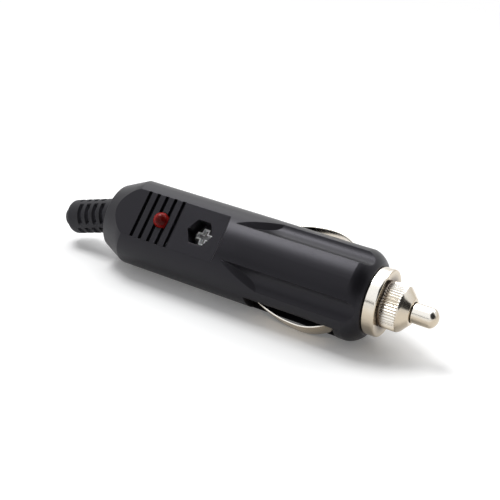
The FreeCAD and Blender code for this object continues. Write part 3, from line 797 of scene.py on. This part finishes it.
def lens_surface(sizes):
    """The light's lens turned about its own upright axis: flange, stem and half a sphere."""
    x = PANEL_FRONT - sizes.setback
    low = sizes.seat - sizes.flange_thickness
    stem = rounded([
        (low, 0.0, 0.0),
        (low, sizes.flange_radius, 0.1 * MM),
        (sizes.seat, sizes.flange_radius, 0.1 * MM),
        (sizes.seat, sizes.radius, 0.05 * MM),
        (sizes.centre, sizes.radius, 0.0),
    ])
    lean = np.linspace(math.pi / 2, 0.0, 28)[1:]
    dome = np.stack([sizes.centre + sizes.radius * np.cos(lean), sizes.radius * np.sin(lean)], axis=1)
    upright = turned(np.concatenate([stem[:-1], dome]), 96)
    return lie_down(np.stack([x - upright[..., 1], upright[..., 2], upright[..., 0]], axis=-1))


def coil_surface(sizes):
    """A round wire along a helix about X: the centre at turn a is (x0 + p a, c cos a, c sin a)."""
    x0 = TERMINAL_FRONT + sizes.wire_radius
    x1 = FUSE_REAR - sizes.wire_radius
    c = sizes.coil_radius
    a = np.linspace(0.0, 2 * math.pi * sizes.turns, 36 * sizes.turns + 1)
    p = (x1 - x0) / a[-1]
    centres = np.stack([x0 + p * a, c * np.cos(a), c * np.sin(a)], axis=1)
    outward = np.stack([0 * a, np.cos(a), np.sin(a)], axis=1)
    ahead = np.stack([p + 0 * a, -c * np.sin(a), c * np.cos(a)], axis=1)
    ahead /= np.linalg.norm(ahead, axis=1, keepdims=True)
    around = np.linspace(0.0, 2 * math.pi, 16, endpoint=False)
    section = sizes.wire_radius * np.stack([np.cos(around), np.sin(around)], axis=1)
    return swept(centres, outward, np.cross(ahead, outward), section)


class PLUG_OT_housing(Operator):
    """Give both half shells their moulded finish"""
    bl_idname = "plug.housing"
    bl_label = "Housing"

    def execute(self, context):
        plastic = moulded_plastic("moulded_plastic", context.scene.plug_colours.housing)
        dress(plastic, "upper_shell", "lower_shell")
        return {"FINISHED"}


class PLUG_OT_boot(Operator):
    """Model the soft slotted boot"""
    bl_idname = "plug.boot"
    bl_label = "Boot"

    def execute(self, context):
        points, depth = boot_surface(context.scene.plug_boot)
        rubber = soft_rubber("soft_rubber", context.scene.plug_colours.boot)
        add_piece("slotted_boot", points, "housing", rubber, ("strain_relief",),
                  wrap_rows=True, values={"depth": depth})
        return {"FINISHED"}


class PLUG_OT_nose(Operator):
    """Turn the retaining nut and the centre contact"""
    bl_idname = "plug.nose"
    bl_label = "Nut and pin"

    def execute(self, context):
        colours = context.scene.plug_colours
        plate = plated_metal("nickel_plate", colours.nickel, colours.shade_and_pit_tint, 0.10)
        points, grime = nut_surface(context.scene.plug_nut)
        # The nut carries its painted corner shade as grime.
        add_piece("knurled_nut", lie_down(points), "nut", plate, ("retaining_nut",),
                  wrap_rows=True, values={"grime": grime})
        points = pin_surface(context.scene.plug_pin)
        add_piece("crowned_pin", lie_down(points), "contact_train", plate,
                  ("centre_contact",))
        return {"FINISHED"}


class PLUG_OT_side_contacts(Operator):
    """Bend the two sprung side contacts"""
    bl_idname = "plug.side_contacts"
    bl_label = "Side contacts"

    def execute(self, context):
        colours = context.scene.plug_colours
        plate = plated_metal("nickel_strip", colours.nickel, colours.shade_and_pit_tint, 0.14, stretch=(0.1, 1.0, 1.0))
        for side, name in ((-1, "near"), (1, "far")):
            points = strip_surface(context.scene.plug_strip, side)
            add_piece(name + "_bow", points, name + "_contact", plate,
                      ("side_contact_" + name,))
        return {"FINISHED"}


class PLUG_OT_light(Operator):
    """Mould the red light and dress its leads and resistor"""
    bl_idname = "plug.light"
    bl_label = "Light"

    def execute(self, context):
        colours = context.scene.plug_colours
        add_piece("red_dome", lens_surface(context.scene.plug_light), "housing",
                  red_resin("red_resin", colours.lens), ("led_lens",))
        dress(plated_metal("tinned_wire", colours.tin, colours.zinc, 0.25),
              "led_anode_lead", "led_cathode_lead", "resistor_front_lead", "resistor_rear_lead")
        low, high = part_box("resistor_body")
        middle, half_length = (low[0] + high[0]) / 2, (high[0] - low[0]) / 2
        dress(banded_enamel("resistor_enamel", colours.enamel, middle, half_length), "resistor_body")
        return {"FINISHED"}


class PLUG_OT_fasteners(Operator):
    """Dress the clamp screw and its nut"""
    bl_idname = "plug.fasteners"
    bl_label = "Screw and nut"

    def execute(self, context):
        zinc = context.scene.plug_colours.zinc
        dress(dark_screw("screw_steel", zinc), "clamp_screw")
        dress(edged_metal("zinc_plate", zinc, 0.16, 0.12 * MM), "clamp_nut")
        return {"FINISHED"}


class PLUG_OT_fuse_train(Operator):
    """Coil the pressure spring and dress fuse, terminal and ground strap"""
    bl_idname = "plug.fuse_train"
    bl_label = "Fuse and spring"

    def execute(self, context):
        colours = context.scene.plug_colours
        steel = plated_metal("spring_steel", colours.tin, colours.zinc, 0.22)
        points = coil_surface(context.scene.plug_spring)
        spring = add_piece("pressure_coil", points, "housing", steel, ("pressure_spring",))
        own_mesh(spring)
        dress(edged_metal("fuse_caps", colours.nickel, 0.14, 0.2 * MM), "fuse_cap_front", "fuse_cap_rear")
        dress(clear_glass("fuse_glass", colours.glass), "fuse_glass")
        dress(plated_metal("fuse_wire", colours.tin, colours.zinc, 0.3), "fuse_wire")
        dress(edged_metal("brass_sheet", colours.brass, 0.2, 0.1 * MM), "spring_terminal", "ground_strap")
        return {"FINISHED"}


class PLUG_OT_stage(Operator):
    """Set the pale floor, the soft lamps and the camera"""
    bl_idname = "plug.stage"
    bl_label = "Stage"

    def execute(self, context):
        look = context.scene.plug_stage
        scene = context.scene
        scene.view_settings.view_transform = "Standard"
        floor = put("floor", sheet("floor", FLOOR_REACH, FLOOR_REACH, CAD_BOX[0][2]))
        floor.data.materials.append(floor_paint(look.floor))
        scene.world = room(look.overhead, look.low)
        add_flag("front_flag", (0.23, -0.13, 0.29), (-0.01, 0.0, 0.0), 0.46, 0.46)
        add_flag("nose_flag", (0.27, -0.05, 0.13), (0.0, 0.0, 0.0), 0.30, 0.22)
        add_flag("low_flag", (-0.15, -0.30, 0.085), (0.0, 0.0, 0.0), 0.40, 0.03)
        add_lamp("key", (-0.29, 0.03, 0.56), (-0.03, 0.0, 0.0), 0.26, look.key_power)
        add_lamp("softbox", (-0.15, 0.32, 0.45), (-0.03, 0.0, 0.0), 0.50, look.softbox_power)
        add_lamp("rim", (0.16, 0.28, 0.34), (-0.01, 0.0, 0.0), 0.14, look.rim_power)
        add_snoot("screw_snoot", SCREW_X, 0.30, math.radians(1.25), look.snoot_power)
        add_camera(look)
        return {"FINISHED"}


def sheet(name, u, v, z=0.0):
    """A flat mesh at height z that reaches u and v to both sides of its middle."""
    mesh = bpy.data.meshes.new(name)
    mesh.from_pydata([(-u, -v, z), (u, -v, z), (u, v, z), (-u, v, z)], [], [(0, 1, 2, 3)])
    return mesh


def floor_paint(tint):
    """Matt pale paint, a little uneven.

    To the eye it is lifted towards white, but keeps its shadow, and further off it fades to white.
    """
    graph = Graph("floor_paint")
    base = graph.mix(graph.noise(6.0, 2.0), tuple(tint), scaled(tint, 0.985))
    paint = graph.add("ShaderNodeBsdfDiffuse", None, {"Color": base})
    lift = graph.add("ShaderNodeEmission", None, {"Color": WHITE, "Strength": 0.14})
    lifted = graph.add("ShaderNodeAddShader", None, {0: paint, 1: lift})
    away = graph.add("ShaderNodeVectorMath", {"operation": "LENGTH"}, {0: graph.place()}, output=1)
    white = graph.add("ShaderNodeEmission", None, {"Color": WHITE, "Strength": 1.0})
    faded = graph.mix_shaders(away.between(0.14, 0.45), lifted, white)
    return graph.close(graph.mix_shaders(graph.seen(), paint, faded))


def room(overhead, low):
    """The room is white to the eye, in metal and through glass.

    It lights the plug from overhead and from the boot's end, and warmly from low down.
    """
    bright_side = (-0.50, 0.10, 0.86)
    graph = Graph("room", bpy.data.worlds)
    ways = graph.add("ShaderNodeTexCoord")
    bright, dark, warm, white = (
        graph.add("ShaderNodeBackground", None, {"Color": tint, "Strength": strength})
        for tint, strength in (((0.98, 0.99, 1.0, 1.0), overhead), ((0.9, 0.95, 1.0, 1.0), 0.25 * low),
                               ((0.80, 0.64, 0.46, 1.0), low), (WHITE, 1.0)))
    around = graph.mix_shaders(graph.dot(ways, UPRIGHT).between(0.04, 0.30), warm, dark)
    light = graph.mix_shaders(graph.dot(ways, bright_side).between(0.30, 0.80), around, bright)
    return graph.close(graph.mix_shaders(graph.seen(), light, white), "ShaderNodeOutputWorld")


def facing(place, aim):
    """The turn of something that looks along its -Z axis from a place to a point."""
    return (Vector(place) - Vector(aim)).to_track_quat("Z", "Y")


def add_lamp(name, place, aim, size, power):
    """A square soft lamp that faces a point."""
    lamp = bpy.data.lights.new(name, "AREA")
    lamp.size = size
    lamp.energy = power
    holder = put(name, lamp)
    holder.location = place
    holder.rotation_euler = facing(place, aim).to_euler()


def add_snoot(name, x, away, angle, power):
    """A narrow lamp that looks straight down on the panel at one place along the plug."""
    lamp = bpy.data.lights.new(name, "SPOT")
    lamp.energy = power
    lamp.spot_size = angle
    lamp.spot_blend = 0.3
    lamp.shadow_soft_size = 0.01
    holder = put(name, lamp)
    holder.location = (x, -away * math.sin(ROLL), away * math.cos(ROLL))
    holder.rotation_euler = (ROLL, 0.0, 0.0)


def add_flag(name, place, aim, width, height):
    """A black card that faces a point. It shows in reflections only and shades nothing."""
    black, worn_black = (0.012, 0.012, 0.013, 1.0), (0.02, 0.018, 0.016, 1.0)
    card = put(name, sheet(name, width / 2, height / 2))
    card.location = place
    card.rotation_euler = facing(place, aim).to_euler()
    card.visible_camera = False
    card.visible_diffuse = False
    card.visible_shadow = False
    graph = Graph(name)
    base = graph.mix(graph.noise(8.0, 2.0), black, worn_black)
    card.data.materials.append(graph.principled(Base_Color=base, Roughness=0.9))


def add_camera(look):
    """The camera looks from its eye to its aim, rolled by its tilt."""
    camera = bpy.data.cameras.new("camera")
    camera.sensor_width = 36.0
    camera.angle = look.view_angle
    camera.clip_start = 0.01
    camera.clip_end = 20.0
    holder = put("camera", camera)
    turn = facing(look.eye, look.aim).to_matrix() @ Matrix.Rotation(look.tilt, 3, "Z")
    holder.matrix_world = Matrix.Translation(look.eye) @ turn.to_4x4()
    bpy.context.scene.camera = holder


class PLUG_PT_panel(Panel):
    """Lists the operators in the order that main() calls them"""
    bl_idname = "PLUG_PT_panel"
    bl_label = "Lighter Plug"
    bl_space_type = "VIEW_3D"
    bl_region_type = "UI"
    bl_category = "Lighter Plug"

    def draw(self, context):
        for operator in OPERATORS:
            self.layout.operator(operator.bl_idname)


OPERATORS = (PLUG_OT_housing, PLUG_OT_boot, PLUG_OT_nose, PLUG_OT_side_contacts, PLUG_OT_light,
             PLUG_OT_fasteners, PLUG_OT_fuse_train, PLUG_OT_stage)
SETTINGS = {"plug_boot": BootSizes, "plug_nut": NutSizes, "plug_pin": PinSizes, "plug_strip": StripSizes,
            "plug_light": LightSizes, "plug_spring": SpringSizes, "plug_colours": PlugColours,
            "plug_stage": StageLook}


def register():
    for settings in SETTINGS.values():
        bpy.utils.register_class(settings)
    for name, settings in SETTINGS.items():
        setattr(bpy.types.Scene, name, PointerProperty(type=settings))
    for operator in OPERATORS:
        bpy.utils.register_class(operator)
    bpy.utils.register_class(PLUG_PT_panel)


def unregister():
    bpy.utils.unregister_class(PLUG_PT_panel)
    for operator in reversed(OPERATORS):
        bpy.utils.unregister_class(operator)
    for name, settings in reversed(SETTINGS.items()):
        delattr(bpy.types.Scene, name)
        bpy.utils.unregister_class(settings)


def main():
    register()
    bpy.ops.plug.housing()
    bpy.ops.plug.boot()
    bpy.ops.plug.nose()
    bpy.ops.plug.side_contacts()
    bpy.ops.plug.light()
    bpy.ops.plug.fasteners()
    bpy.ops.plug.fuse_train()
    bpy.ops.plug.stage()
    bpy.context.view_layer.update()


if __name__ == "__main__":
    main()
